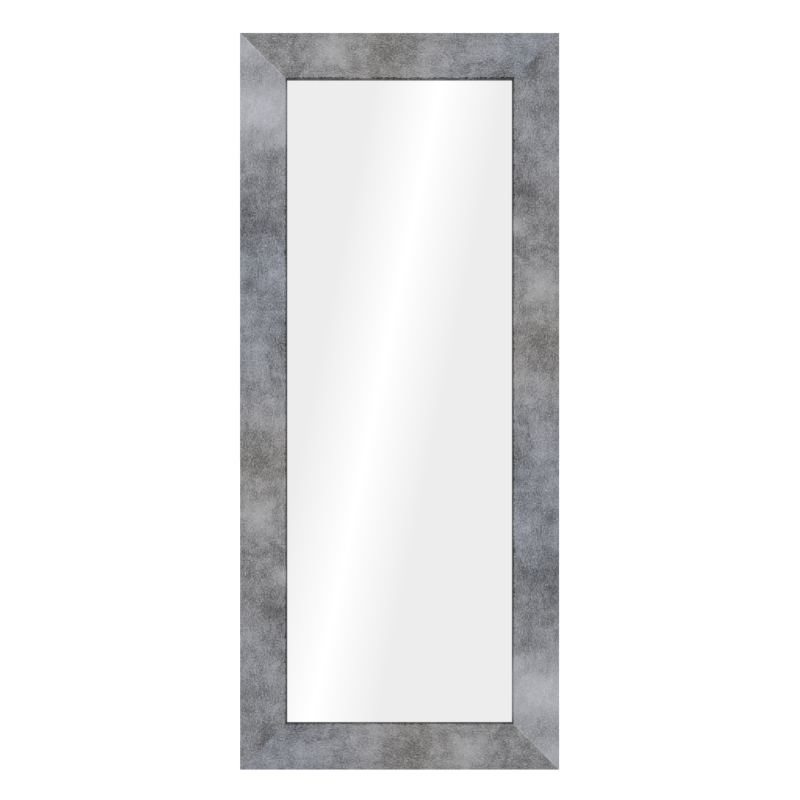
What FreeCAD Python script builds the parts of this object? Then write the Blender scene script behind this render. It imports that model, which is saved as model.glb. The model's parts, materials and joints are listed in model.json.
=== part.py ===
"""Full-length wall mirror: a mitred flat frame, a bedded glass, a pinned back and four swinging hangers.

All lengths are millimetres and angles are degrees. X runs to the right as the mirror is looked at, Y runs
from the front towards the wall, and Z is up. The origin is the middle of the bottom edge, halfway through
the whole depth. The frame's own depth is measured from its back plane towards the front.
"""

import FreeCAD, Part
import math
import os
import re
from typing import NamedTuple

import Sketcher

V = FreeCAD.Vector

SIZES = {
    # The whole mirror
    "overall_width": 650,
    "overall_height": 1500,
    # The moulding: across from its outer edge to its lip, and through from its back to its face
    "moulding_width": 96,
    "moulding_depth": 22,
    "sight_bevel": 3,
    "rebate_width": 10,
    "rebate_depth": 12,
    "outer_edge_round": 1.2,
    "sight_edge_round": 0.6,
    # What lies in the rebate, from the lip backwards
    "felt_thickness": 1,
    "felt_width": 6,
    "felt_setback": 2,
    "glass_thickness": 4,
    "glass_clearance": 2,
    "glass_arris": 0.6,
    "board_thickness": 3,
    "board_clearance": 1.5,
    # The flat steel points that are driven into the rebate wall and hold the board in
    "point_length": 16,
    "point_bite": 7,
    "point_width": 6,
    "point_thickness": 0.6,
    "point_tip": 3,
    "point_corner_gap": 80,
    "points_per_stile": 8,
    "points_per_rail": 3,
    # The V nails that are driven into each mitre from the back
    "nail_wing": 9,
    "nail_thickness": 0.6,
    "nail_height": 12,
    "nail_sink": 0.5,
    "nail_edge_gap": 16,
    "nails_per_corner": 3,
    # The hangers: a strap folded round a ring, with the ring's hinge line at these drops from the edge
    "portrait_drop": 300,
    "landscape_drop": 190,
    "strap_length": 48,
    "strap_width": 15,
    "strap_ply": 1,
    "strap_corner_round": 4,
    "strap_hole_play": 0.5,
    "ring_wire": 3,
    "ring_play": 0.1,
    "ring_end_play": 0.5,
    "ring_corner": 3.5,
    "ring_side": 2,
    "ring_rest_gap": 0.05,
    # The pan-head screws of the straps
    "screw_first": 25,
    "screw_pitch": 15,
    "screw_shank": 3.5,
    "screw_length": 16,
    "screw_tip": 4,
    "screw_head": 7.4,
    "screw_head_height": 2.4,
    "screw_crown": 1.1,
    "recess_span": 4,
    "recess_slot": 0.9,
    "recess_depth": 1.4,
    # The rubber bumpers that stand the mirror off the wall
    "bumper_diameter": 14,
    "bumper_height": 6,
    "bumper_draft": 6,
    "bumper_rise": 120,
    # How far every cut runs past the material
    "cut_overrun": 5,
}

# Places that several pieces share, as formulas on the sizes
BACK_PLANE = "((moulding_depth - bumper_height) / 2)"
REBATE_WALL = "(moulding_width - rebate_width)"
GLASS_BACK = "(rebate_depth - felt_thickness - glass_thickness)"
BOARD_BACK = "(rebate_depth - felt_thickness - glass_thickness - board_thickness)"
FIRST_POINT = "(moulding_width + point_corner_gap)"
KNUCKLE_RADIUS = "(ring_wire / 2 + ring_play + strap_ply)"
BAR_HALF = "(strap_width / 2 + ring_end_play)"
BOW_RADIUS = "(strap_width / 2 + ring_end_play + ring_corner)"
SCREW_REACHES = ("screw_first", "(screw_first + screw_pitch)")

QUARTER_TURN = 90
HALF_TURN = 180
UNIT_RADIUS = 1
PARALLEL_TOLERANCE = 1e-6
PLACE_TOLERANCE = 1e-4

RIGHT = V(1, 0, 0)
LEFT = V(-1, 0, 0)
UP = V(0, 0, 1)
DOWN = V(0, 0, -1)
TO_FRONT = V(0, -1, 0)
TO_WALL = V(0, 1, 0)


class Member(NamedTuple):
    """One length of the frame, from its first corner along one edge, anticlockwise from the front."""

    label: str
    along: FreeCAD.Vector
    corner_x: str
    corner_z: str
    run: str
    points: str
    drop: str
    hanger_near_start: bool


class Hanger(NamedTuple):
    """One wall hanger: where its hinge line crosses the back of the frame and which way its strap runs."""

    name: str
    strap_runs: FreeCAD.Vector
    hinge_x: str
    hinge_z: str


MEMBERS = (
    Member("left_stile", DOWN, "-overall_width / 2", "overall_height",
           "overall_height", "points_per_stile", "portrait_drop", True),
    Member("right_stile", UP, "overall_width / 2", "0",
           "overall_height", "points_per_stile", "portrait_drop", False),
    Member("top_rail", LEFT, "overall_width / 2", "overall_height",
           "overall_width", "points_per_rail", "landscape_drop", False),
    Member("bottom_rail", RIGHT, "-overall_width / 2", "0",
           "overall_width", "points_per_rail", "landscape_drop", True),
)
HANGERS = (
    Hanger("portrait_left", DOWN,
           f"-overall_width / 2 + {REBATE_WALL} / 2", "overall_height - portrait_drop"),
    Hanger("portrait_right", DOWN,
           f"overall_width / 2 - {REBATE_WALL} / 2", "overall_height - portrait_drop"),
    Hanger("landscape_top", RIGHT,
           "-overall_width / 2 + landscape_drop", f"overall_height - {REBATE_WALL} / 2"),
    Hanger("landscape_bottom", RIGHT,
           "-overall_width / 2 + landscape_drop", f"{REBATE_WALL} / 2"),
)

doc = FreeCAD.newDocument("full_length_mirror")
sheet = doc.addObject("Spreadsheet::Sheet", "Sizes")


# The sheet of sizes, and what ties a shape to it

def fill_sheet():
    """Writes every driving size to one cell of the sheet, with its name as the cell's alias."""
    for row, (alias, number) in enumerate(SIZES.items(), start=1):
        sheet.set(f"A{row}", str(number))
        sheet.setAlias(f"A{row}", alias)
    doc.recompute()


def size(alias):
    """A size as a plain number, read from the sheet."""
    return float(sheet.get(alias))


def count(alias):
    """A number of copies, read from the sheet."""
    return int(sheet.get(alias))


def bind(target, prop, formula):
    """Ties a property to the sheet: each alias in the formula becomes a reference to its cell."""
    linked = re.sub(r"[a-z_]+", lambda word: f"Sizes.{word[0]}" if word[0] in SIZES else word[0], formula)
    target.setExpression(prop, linked)


def bind_place(target, x="0", y="0", z="0", prop="Placement"):
    """Ties the three coordinates of a placement to the sheet."""
    for axis, formula in (("x", x), ("y", y), ("z", z)):
        bind(target, f"{prop}.Base.{axis}", formula)


def turned(x_axis, z_axis):
    """The rotation that lays a piece's own X and Z axes along the two given directions."""
    return FreeCAD.Rotation(x_axis, z_axis.cross(x_axis), z_axis, "XYZ")


def about(axis, degrees):
    """A rotation about one axis."""
    return FreeCAD.Rotation(axis, degrees)


# Sketches whose corners and centres are tied to the sheet

def origin_plane(body, role):
    """One of a body's own origin planes or axes."""
    return next(item for item in body.Origin.OriginFeatures if item.Role == role)


def sketch_in(body, name, role, lift="0"):
    """An empty sketch on one of a body's origin planes, lifted along that plane's normal."""
    sketch = body.newObject("Sketcher::SketchObject", name)
    sketch.AttachmentSupport = [(origin_plane(body, role), "")]
    sketch.MapMode = "FlatFace"
    bind_place(sketch, z=lift, prop="AttachmentOffset")
    return sketch


def sketch_on_wall_side(name, depth):
    """An empty free sketch that faces the front, at a depth measured from the frame's back plane."""
    sketch = doc.addObject("Sketcher::SketchObject", name)
    sketch.Placement = FreeCAD.Placement(V(), turned(RIGHT, TO_FRONT))
    bind(sketch, "Placement.Base.y", f"{BACK_PLANE} - ({depth})")
    return sketch


def tie_point(sketch, geometry, which, x, y, start):
    """Ties one point of a sketch to two formulas, measured from the sketch's origin."""
    for kind, formula, first in (("DistanceX", x, start.x), ("DistanceY", y, start.y)):
        index = sketch.addConstraint(Sketcher.Constraint(kind, -1, 1, geometry, which, first))
        sketch.renameConstraint(index, f"tie_{index}")
        bind(sketch, f"Constraints.tie_{index}", formula)


def add_polygon(sketch, corners):
    """Adds a closed outline whose corners are pairs of formulas. It starts as a unit polygon."""
    total = len(corners)
    angles = [2 * math.pi * i / total for i in range(total)]
    starts = [V(math.cos(angle), math.sin(angle), 0) for angle in angles]
    first = sketch.GeometryCount
    for i in range(total):
        sketch.addGeometry(Part.LineSegment(starts[i], starts[(i + 1) % total]))
    for i in range(total):
        sketch.addConstraint(Sketcher.Constraint("Coincident", first + i, 2, first + (i + 1) % total, 1))
    for i, (x, y) in enumerate(corners):
        tie_point(sketch, first + i, 1, x, y, starts[i])


def add_rectangle(sketch, x_low, x_high, y_low, y_high):
    """Adds a rectangle between four formulas."""
    add_polygon(sketch, [(x_low, y_low), (x_high, y_low), (x_high, y_high), (x_low, y_high)])


def add_circle(sketch, x, y, diameter):
    """Adds a circle whose centre and diameter are formulas. It starts as a unit circle."""
    index = sketch.addGeometry(Part.Circle(V(), UP, UNIT_RADIUS))
    tie_point(sketch, index, 3, x, y, V())
    across = sketch.addConstraint(Sketcher.Constraint("Diameter", index, 2 * UNIT_RADIUS))
    sketch.renameConstraint(across, f"across_{across}")
    bind(sketch, f"Constraints.across_{across}", diameter)


# Features that are made the same way on several pieces

def pad(body, sketch, name, length):
    """Pads a sketch along its normal."""
    feature = body.newObject("PartDesign::Pad", name)
    feature.Profile = sketch
    bind(feature, "Length", length)
    doc.recompute()
    return feature


def pocket(body, sketch, name, depth=None, along_normal=False):
    """Cuts a sketch into a body, through it if no depth is given, and makes sure that something was cut."""
    before = body.Shape.Volume
    feature = body.newObject("PartDesign::Pocket", name)
    feature.Profile = sketch
    feature.Reversed = along_normal
    if depth is None:
        feature.Type = "ThroughAll"
    else:
        bind(feature, "Length", depth)
    doc.recompute()
    require_cut(body, name, before)
    return feature


def require_cut(body, name, before):
    """Stops the build if a cut left a body's volume as it was."""
    if not 0 < body.Shape.Volume < before:
        raise RuntimeError(f"{name} cut nothing from {body.Label}")


def edges_through(shape, along, places):
    """The names of a shape's straight edges that run along one axis through one of the given places."""
    found = []
    for number, edge in enumerate(shape.Edges, start=1):
        if not isinstance(edge.Curve, Part.Line):
            continue
        if edge.Curve.Direction.cross(along).Length > PARALLEL_TOLERANCE:
            continue
        middle = edge.CenterOfMass
        if any((middle - place).cross(along).Length < PLACE_TOLERANCE for place in places):
            found.append(f"Edge{number}")
    return found


def fillet(body, base, name, along, places, radius):
    """Rounds the straight edges of a body that run along one axis through the given places."""
    feature = body.newObject("PartDesign::Fillet", name)
    feature.Base = (base, edges_through(base.Shape, along, places))
    bind(feature, "Radius", radius)
    doc.recompute()
    return feature


def extrude(sketch, label, length):
    """Extrudes every outline of a free sketch along its normal, as one group of separate solids."""
    group = doc.addObject("Part::Extrusion", label)
    group.Base = sketch
    group.DirMode = "Normal"
    group.Solid = True
    bind(group, "LengthFwd", length)
    return group


# The frame: four lengths of one moulding

def evenly(first, span, copies, index):
    """The formula of the place of one copy out of several that are evenly spread over a span."""
    return f"{first} + ({span}) * {index} / ({copies} - 1)"


def nail_place(index):
    """How far in from the outer edge, both ways, the back of one V nail lies."""
    span = f"{REBATE_WALL} - 2 * nail_edge_gap - nail_wing"
    return evenly("nail_edge_gap", span, "nails_per_corner", index)


def inward(edge, sense, distance):
    """The formula of a place at a distance inward from an edge. The sense is 1 or -1."""
    return f"{edge} + {sense} * ({distance})"


def add_nails(sketch, x_edge, x_sense, y_edge, y_sense):
    """Adds the outlines of the V nails of one corner, which lies where the two edges meet."""
    for index in range(count("nails_per_corner")):
        back = nail_place(index)
        inner = f"{back} + nail_thickness"
        tip = f"{back} + nail_wing"
        corners = [(back, back), (tip, back), (tip, inner), (inner, inner), (inner, tip), (back, tip)]
        add_polygon(sketch, [(inward(x_edge, x_sense, x), inward(y_edge, y_sense, y)) for x, y in corners])


def point_outline(wall, sense, middle):
    """One framing point's corners, as distances from the rebate wall and along it."""
    tip = inward(wall, sense, "-point_bite")
    shoulder = inward(wall, sense, "point_tip - point_bite")
    end = inward(wall, sense, "point_length - point_bite")
    low = f"{middle} - point_width / 2"
    high = f"{middle} + point_width / 2"
    return [(tip, middle), (shoulder, low), (end, low), (end, high), (shoulder, high)]


def add_point_slots(body, member):
    """Cuts the slots that hold the framing points along the rebate wall of one length of moulding."""
    sketch = sketch_in(body, "point_slot_outline", "XY_Plane", lift=BOARD_BACK)
    add_polygon(sketch, [(along, across) for across, along in point_outline(REBATE_WALL, 1, FIRST_POINT)])
    slot = pocket(body, sketch, "point_slot", depth="point_thickness")
    before = body.Shape.Volume
    row = body.newObject("PartDesign::LinearPattern", "point_slots")
    row.Originals = [slot]
    row.Direction = (origin_plane(body, "X_Axis"), [""])
    bind(row, "Length", f"{member.run} - 2 * {FIRST_POINT}")
    bind(row, "Occurrences", member.points)
    body.Tip = row
    doc.recompute()
    require_cut(body, "point_slots", before)


def make_member(member):
    """One length of moulding: extruded, rounded, mitred, then slotted for its nails, points and screws."""
    body = doc.addObject("PartDesign::Body", member.label)
    body.Placement = FreeCAD.Placement(V(), turned(member.along, TO_FRONT))
    bind_place(body, member.corner_x, BACK_PLANE, member.corner_z)

    section = sketch_in(body, "section", "YZ_Plane")
    add_polygon(section, [
        ("0", "0"),
        ("0", "moulding_depth"),
        ("moulding_width - sight_bevel", "moulding_depth"),
        ("moulding_width", "rebate_depth"),
        (REBATE_WALL, "rebate_depth"),
        (REBATE_WALL, "0"),
    ])
    length = pad(body, section, "length", member.run)
    face = size("moulding_depth")
    outer = fillet(body, length, "outer_edge", RIGHT, [V(0, 0, face)], "outer_edge_round")
    sight_line = V(0, size("moulding_width") - size("sight_bevel"), face)
    fillet(body, outer, "sight_edge", RIGHT, [sight_line], "sight_edge_round")

    mitres = sketch_in(body, "mitre_outline", "XY_Plane")
    past = "(moulding_width + cut_overrun)"
    add_polygon(mitres, [("0", "0"), (past, past), ("0", past)])
    add_polygon(mitres, [(member.run, "0"), (member.run, past), (f"{member.run} - {past}", past)])
    pocket(body, mitres, "mitres", along_normal=True)

    nails = sketch_in(body, "nail_outline", "XY_Plane")
    add_nails(nails, "0", 1, "0", 1)
    add_nails(nails, member.run, -1, "0", 1)
    pocket(body, nails, "nail_slots", depth="nail_sink + nail_height", along_normal=True)

    pilots = sketch_in(body, "pilot_outline", "XY_Plane")
    hanger_end, sense = ("0", 1) if member.hanger_near_start else (member.run, -1)
    for reach in SCREW_REACHES:
        along = inward(hanger_end, sense, f"{member.drop} + {reach}")
        add_circle(pilots, along, f"{REBATE_WALL} / 2", "screw_shank")
    pocket(body, pilots, "pilot_holes", depth="screw_length - 2 * strap_ply", along_normal=True)

    add_point_slots(body, member)
    return body


# What fills the rebate: felt, glass and board, and the points and nails that hold them and the corners

def make_felt(label, low_x, long_x, low_z, long_z):
    """One strip of the felt tape that beds the glass on the lip."""
    strip = doc.addObject("Part::Box", label)
    bind(strip, "Length", long_x)
    bind(strip, "Width", "felt_thickness")
    bind(strip, "Height", long_z)
    bind_place(strip, low_x, f"{BACK_PLANE} - rebate_depth", low_z)
    return strip


def make_felts():
    """The four felt strips: the side ones run full length, and the others fit between them."""
    start = "(moulding_width - felt_setback - felt_width)"
    end = "(moulding_width - felt_setback)"
    tall = f"overall_height - 2 * {start}"
    between = f"-overall_width / 2 + {end}"
    wide = f"overall_width - 2 * {end}"
    return [
        make_felt("glazing_felt_left", f"-overall_width / 2 + {start}", "felt_width", start, tall),
        make_felt("glazing_felt_right", f"overall_width / 2 - {end}", "felt_width", start, tall),
        make_felt("glazing_felt_top", between, wide, f"overall_height - {end}", "felt_width"),
        make_felt("glazing_felt_bottom", between, wide, start, "felt_width"),
    ]


def make_pane(label, back, thickness, clearance):
    """A flat sheet in the rebate. It stands on the bottom rail and is centred between the stiles."""
    body = doc.addObject("PartDesign::Body", label)
    outline = sketch_in(body, "outline", "XZ_Plane", lift=f"{back} - {BACK_PLANE}")
    half = f"overall_width / 2 - {REBATE_WALL} - {clearance}"
    top = f"overall_height - {REBATE_WALL} - 2 * {clearance}"
    add_rectangle(outline, f"-({half})", half, REBATE_WALL, top)
    return body, pad(body, outline, "sheet", thickness)


def make_glass():
    """The silvered glass, with its sawn edges broken all round."""
    body, sheet_of_glass = make_pane("mirror_glass", GLASS_BACK, "glass_thickness", "glass_clearance")
    arris = body.newObject("PartDesign::Chamfer", "arris")
    arris.Base = (sheet_of_glass, [""])
    arris.UseAllEdges = True
    bind(arris, "Size", "glass_arris")
    doc.recompute()
    return body


def make_board():
    """The hardboard back."""
    body, _ = make_pane("backing_board", BOARD_BACK, "board_thickness", "board_clearance")
    return body


def make_nails():
    """The V nails of all four corners, driven just below the back of the frame."""
    sketch = sketch_on_wall_side("nail_outlines", "nail_sink")
    for side, side_sense in (("-overall_width / 2", 1), ("overall_width / 2", -1)):
        for end, end_sense in (("0", 1), ("overall_height", -1)):
            add_nails(sketch, side, side_sense, end, end_sense)
    return extrude(sketch, "corner_v_nails", "nail_height")


def make_points():
    """The flat steel points round the board, each with its pointed end in the rebate wall."""
    sketch = sketch_on_wall_side("point_outlines", f"{BOARD_BACK} - point_thickness")
    tall = f"overall_height - 2 * {FIRST_POINT}"
    wide = f"overall_width - 2 * {FIRST_POINT}"
    for index in range(count("points_per_stile")):
        middle = evenly(FIRST_POINT, tall, "points_per_stile", index)
        add_polygon(sketch, point_outline(f"-overall_width / 2 + {REBATE_WALL}", 1, middle))
        add_polygon(sketch, point_outline(f"overall_width / 2 - {REBATE_WALL}", -1, middle))
    for index in range(count("points_per_rail")):
        middle = evenly(f"-overall_width / 2 + {FIRST_POINT}", wide, "points_per_rail", index)
        for wall, sense in ((REBATE_WALL, 1), (f"overall_height - {REBATE_WALL}", -1)):
            outline = point_outline(wall, sense, middle)
            add_polygon(sketch, [(across, along) for along, across in outline])
    return extrude(sketch, "backing_points", "point_thickness")


# The hangers. A strap's own X runs from its hinge line to its tail, and its own Z stands off the frame

def make_strap(hanger):
    """A steel strap folded back on itself round the ring's bar, with two screw holes."""
    body = doc.addObject("PartDesign::Body", f"hanger_strap_{hanger.name}")
    body.Placement = FreeCAD.Placement(V(), turned(hanger.strap_runs, TO_WALL))
    bind_place(body, hanger.hinge_x, BACK_PLANE, hanger.hinge_z)

    plies = body.newObject("PartDesign::AdditiveBox", "plies")
    bind(plies, "Length", "strap_length")
    bind(plies, "Width", "strap_width")
    bind(plies, "Height", "2 * strap_ply")
    bind_place(plies, y="-strap_width / 2")
    doc.recompute()
    tail = [V(size("strap_length"), side * size("strap_width") / 2, 0) for side in (-1, 1)]
    fillet(body, plies, "tail_corners", UP, tail, "strap_corner_round")

    fold = body.newObject("PartDesign::AdditiveCylinder", "fold")
    fold.Placement = FreeCAD.Placement(V(), about(RIGHT, -QUARTER_TURN))
    bind(fold, "Radius", KNUCKLE_RADIUS)
    bind(fold, "Height", "strap_width")
    bind_place(fold, y="-strap_width / 2", z=KNUCKLE_RADIUS)
    doc.recompute()

    before = body.Shape.Volume
    eye = body.newObject("PartDesign::SubtractiveCylinder", "eye")
    eye.Placement = FreeCAD.Placement(V(), about(RIGHT, -QUARTER_TURN))
    bind(eye, "Radius", "ring_wire / 2 + ring_play")
    bind(eye, "Height", "strap_width + 2 * cut_overrun")
    bind_place(eye, y="-strap_width / 2 - cut_overrun", z=KNUCKLE_RADIUS)
    doc.recompute()
    require_cut(body, "eye", before)

    holes = sketch_in(body, "hole_outline", "XY_Plane")
    for reach in SCREW_REACHES:
        add_circle(holes, reach, "0", "screw_shank + strap_hole_play")
    pocket(body, holes, "screw_holes", along_normal=True)
    return body


def ring_wire_piece(kind, rotation, x, y):
    """One straight or bent stretch of a ring's wire, at a place in the ring's own plane."""
    piece = doc.addObject(f"Part::{kind}", "wire")
    piece.Placement = FreeCAD.Placement(V(), rotation)
    bind_place(piece, x, y)
    return piece


def ring_straight(rotation, x, y, length):
    """A straight stretch of wire."""
    piece = ring_wire_piece("Cylinder", rotation, x, y)
    bind(piece, "Radius", "ring_wire / 2")
    bind(piece, "Height", length)
    return piece


def ring_bend(start_angle, sweep, x, y, radius):
    """A bent stretch of wire: an arc in the ring's plane about the given centre."""
    piece = ring_wire_piece("Torus", about(UP, start_angle), x, y)
    bind(piece, "Radius1", radius)
    bind(piece, "Radius2", "ring_wire / 2")
    piece.Angle3 = sweep
    return piece


def ring_lean():
    """The angle past upright at which a ring comes to rest, just clear of the back of the frame."""
    fall = size("ring_play") + size("strap_ply") - size("ring_rest_gap")
    reach = 2 * size("ring_corner") + size("ring_side") + size("ring_end_play") + size("strap_width") / 2
    return math.degrees(math.asin(fall / reach))


def make_ring(hanger):
    """A D ring. Its bar lies on its own Y axis, and its bow reaches out along its own -X."""
    foot = "ring_corner + ring_side"
    sides = (BAR_HALF, f"-{BAR_HALF}")
    rails = (BOW_RADIUS, f"-{BOW_RADIUS}")
    wires = [
        ring_straight(about(RIGHT, -QUARTER_TURN), "0", f"-{BAR_HALF}", f"2 * {BAR_HALF}"),
        ring_bend(0, QUARTER_TURN, "-ring_corner", sides[0], "ring_corner"),
        ring_bend(-QUARTER_TURN, QUARTER_TURN, "-ring_corner", sides[1], "ring_corner"),
        ring_straight(about(TO_WALL, -QUARTER_TURN), "-ring_corner", rails[0], "ring_side"),
        ring_straight(about(TO_WALL, -QUARTER_TURN), "-ring_corner", rails[1], "ring_side"),
        ring_bend(QUARTER_TURN, HALF_TURN, f"-({foot})", "0", BOW_RADIUS),
    ]
    ring = doc.addObject("Part::MultiFuse", f"hanger_ring_{hanger.name}")
    ring.Shapes = wires
    leaning = turned(hanger.strap_runs, TO_WALL).multiply(about(TO_WALL, -ring_lean()))
    ring.Placement = FreeCAD.Placement(V(), leaning)
    bind_place(ring, hanger.hinge_x, f"{BACK_PLANE} + {KNUCKLE_RADIUS}", hanger.hinge_z)
    return ring


def make_screw():
    """The pattern of one pan-head screw. Its axis is its own Z, and its head sits on its own XY plane."""
    body = doc.addObject("PartDesign::Body", "screw_pattern")
    outline = sketch_in(body, "half_outline", "XZ_Plane")
    add_polygon(outline, [
        ("0", "screw_head_height"),
        ("0", "-screw_length"),
        ("screw_shank / 2", "screw_tip - screw_length"),
        ("screw_shank / 2", "0"),
        ("screw_head / 2", "0"),
        ("screw_head / 2", "screw_head_height - screw_crown"),
        ("screw_head / 2 - screw_crown", "screw_head_height"),
    ])
    turned_blank = body.newObject("PartDesign::Revolution", "turned_blank")
    turned_blank.Profile = outline
    turned_blank.ReferenceAxis = (outline, ["V_Axis"])
    doc.recompute()
    slots = (("slot", "recess_span", "recess_slot"), ("cross_slot", "recess_slot", "recess_span"))
    for name, length, width in slots:
        before = body.Shape.Volume
        recess = body.newObject("PartDesign::SubtractiveBox", name)
        bind(recess, "Length", length)
        bind(recess, "Width", width)
        bind(recess, "Height", "recess_depth + cut_overrun")
        bind_place(recess, f"-{length} / 2", f"-{width} / 2", "screw_head_height - recess_depth")
        doc.recompute()
        require_cut(body, name, before)
    return body


def make_screws(pattern):
    """All the straps' screws, as placed copies of one pattern: two on each strap."""
    copies = []
    for hanger in HANGERS:
        for reach in SCREW_REACHES:
            copy = doc.addObject("App::Link", "screw")
            copy.LinkedObject = pattern
            copy.LinkTransform = False
            copy.Placement = FreeCAD.Placement(V(), turned(hanger.strap_runs, TO_WALL))
            along_x = inward(hanger.hinge_x, hanger.strap_runs.x, reach)
            along_z = inward(hanger.hinge_z, hanger.strap_runs.z, reach)
            bind_place(copy, along_x, f"{BACK_PLANE} + 2 * strap_ply", along_z)
            copies.append(copy)
    group = doc.addObject("Part::Compound", "hanger_screws")
    group.Links = copies
    return group


def make_bumpers():
    """Four tapered rubber bumpers on the stiles, one near each corner."""
    sketch = sketch_on_wall_side("bumper_outlines", "0")
    for x in (f"-overall_width / 2 + {REBATE_WALL} / 2", f"overall_width / 2 - {REBATE_WALL} / 2"):
        for z in ("bumper_rise", "overall_height - bumper_rise"):
            add_circle(sketch, x, z, "bumper_diameter")
    group = extrude(sketch, "wall_bumpers", "bumper_height")
    group.Reversed = True
    bind(group, "TaperAngle", "-bumper_draft")
    return group


# Building, checking and writing the pieces

def check_pieces(pieces):
    """Stops the build if any object failed, or if a piece is empty or not made of valid solids."""
    failed = [item.Name for item in doc.Objects if {"Invalid", "Error"} & set(item.State)]
    if failed:
        raise RuntimeError(f"these objects failed: {failed}")
    for piece in pieces:
        shape = piece.Shape
        if shape.isNull() or not shape.isValid() or not shape.Solids:
            raise RuntimeError(f"{piece.Label} has no valid solid")


def write_pieces(pieces):
    """Writes each piece to its own file, named after it."""
    os.makedirs("parts", exist_ok=True)
    for piece in pieces:
        piece.Shape.exportStep(os.path.join("parts", f"{piece.Label}.step"))
        print(f"{piece.Label}: {len(piece.Shape.Solids)} solids, {piece.Shape.Volume:.1f} mm3")


fill_sheet()
pieces = [make_member(member) for member in MEMBERS]
pieces += make_felts()
pieces += [make_glass(), make_board(), make_nails(), make_points()]
for hanger in HANGERS:
    pieces += [make_strap(hanger), make_ring(hanger)]
pieces += [make_screws(make_screw()), make_bumpers()]
doc.recompute()
check_pieces(pieces)
write_pieces(pieces)
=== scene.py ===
"""The looks of a full-length wall mirror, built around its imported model.

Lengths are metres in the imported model's own frame: X runs to the right as the mirror is looked at, Y from
its face towards the wall, and Z up from the middle of its bottom edge.
"""

from __future__ import annotations

import json
import logging
import math
from abc import ABC, abstractmethod
from collections.abc import Callable, Iterable, Mapping, Sequence
from dataclasses import dataclass, field
from enum import Enum
from typing import Any, Union

import bmesh
import bpy
from mathutils import Color, Matrix, Vector

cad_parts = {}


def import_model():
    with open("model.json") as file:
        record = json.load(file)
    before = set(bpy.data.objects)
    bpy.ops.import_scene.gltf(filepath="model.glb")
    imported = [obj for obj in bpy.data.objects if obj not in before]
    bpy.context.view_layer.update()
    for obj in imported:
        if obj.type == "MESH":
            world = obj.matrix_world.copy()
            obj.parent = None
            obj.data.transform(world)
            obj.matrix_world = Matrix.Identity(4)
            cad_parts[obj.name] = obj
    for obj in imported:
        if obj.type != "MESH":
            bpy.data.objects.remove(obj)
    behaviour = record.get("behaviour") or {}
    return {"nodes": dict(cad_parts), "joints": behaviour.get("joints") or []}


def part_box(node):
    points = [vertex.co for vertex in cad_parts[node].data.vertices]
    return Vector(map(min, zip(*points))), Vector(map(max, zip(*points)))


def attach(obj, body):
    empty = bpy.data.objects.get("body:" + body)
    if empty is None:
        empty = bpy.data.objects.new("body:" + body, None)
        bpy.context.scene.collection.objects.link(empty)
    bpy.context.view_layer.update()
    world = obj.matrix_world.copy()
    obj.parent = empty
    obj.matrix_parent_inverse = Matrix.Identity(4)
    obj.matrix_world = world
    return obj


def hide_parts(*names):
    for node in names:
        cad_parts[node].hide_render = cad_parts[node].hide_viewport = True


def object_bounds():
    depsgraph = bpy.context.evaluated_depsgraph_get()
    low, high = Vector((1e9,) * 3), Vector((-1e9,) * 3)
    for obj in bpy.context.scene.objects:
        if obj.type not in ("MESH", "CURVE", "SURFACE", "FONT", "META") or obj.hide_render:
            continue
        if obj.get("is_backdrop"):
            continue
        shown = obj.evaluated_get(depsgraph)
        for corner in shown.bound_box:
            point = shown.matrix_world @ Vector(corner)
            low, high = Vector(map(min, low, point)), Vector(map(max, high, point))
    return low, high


LOG = logging.getLogger("mirror")
MM = 0.001
FRAME_BODY = "frame"
SAME_POINT = 1e-4 * MM
CREASE = math.radians(35)
RIGHT_ANGLE = math.pi / 2
FULL_LEVEL = 255
NOISE_MIDDLE = 0.5

RIGHT = Vector((1, 0, 0))
LEFT = Vector((-1, 0, 0))
UP = Vector((0, 0, 1))
DOWN = Vector((0, 0, -1))
TO_FRONT = Vector((0, -1, 0))
TO_WALL = Vector((0, 1, 0))

Colour = tuple[float, float, float, float]
Stretch = tuple[float, float, float]
WHITE: Colour = (1.0, 1.0, 1.0, 1.0)
EVEN: Stretch = (1.0, 1.0, 1.0)


def srgb(red: int, green: int, blue: int) -> Colour:
    """The linear colour that shaders use, from the levels in which a screen shows it."""
    shown = Color((red / FULL_LEVEL, green / FULL_LEVEL, blue / FULL_LEVEL))
    return (*shown.from_srgb_to_scene_linear(), 1.0)


def operator(operation: str, swapped: bool = False) -> Callable[[Value, Number], Value]:
    """Makes an operator that works by a Math node.

    Args:
        operation: The node's operation.
        swapped: Whether the other value comes first.

    Returns:
        The method of the operator.
    """
    def work(value: Value, other: Number) -> Value:
        """Adds the node on two values."""
        return value.graph.math(operation, *((other, value) if swapped else (value, other)))

    return work


class Value:
    """A node's output that works in Python expressions: each operator adds one Math node."""

    __add__ = __radd__ = operator("ADD")
    __mul__ = __rmul__ = operator("MULTIPLY")
    __sub__ = operator("SUBTRACT")
    __rsub__ = operator("SUBTRACT", swapped=True)
    __truediv__ = operator("DIVIDE")
    __rtruediv__ = operator("DIVIDE", swapped=True)
    __pow__ = operator("POWER")
    __rpow__ = operator("POWER", swapped=True)

    def __init__(self, graph: Graph, socket: bpy.types.NodeSocket) -> None:
        """Wraps one output socket of a graph."""
        self.graph = graph
        self.socket = socket

    def __abs__(self) -> Value:
        """The size without the sign."""
        return self.graph.math("ABSOLUTE", self)

    def over(self, low: Number, high: Number) -> Value:
        """A soft step from 0 at the low to 1 at the high. It falls where the high is below the low."""
        limits = {"Value": self, "From Min": low, "From Max": high}
        return self.graph.node("ShaderNodeMapRange", {"interpolation_type": "SMOOTHSTEP"}, limits)


Number = Union[Value, float]
SocketKey = Union[str, int]


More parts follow.
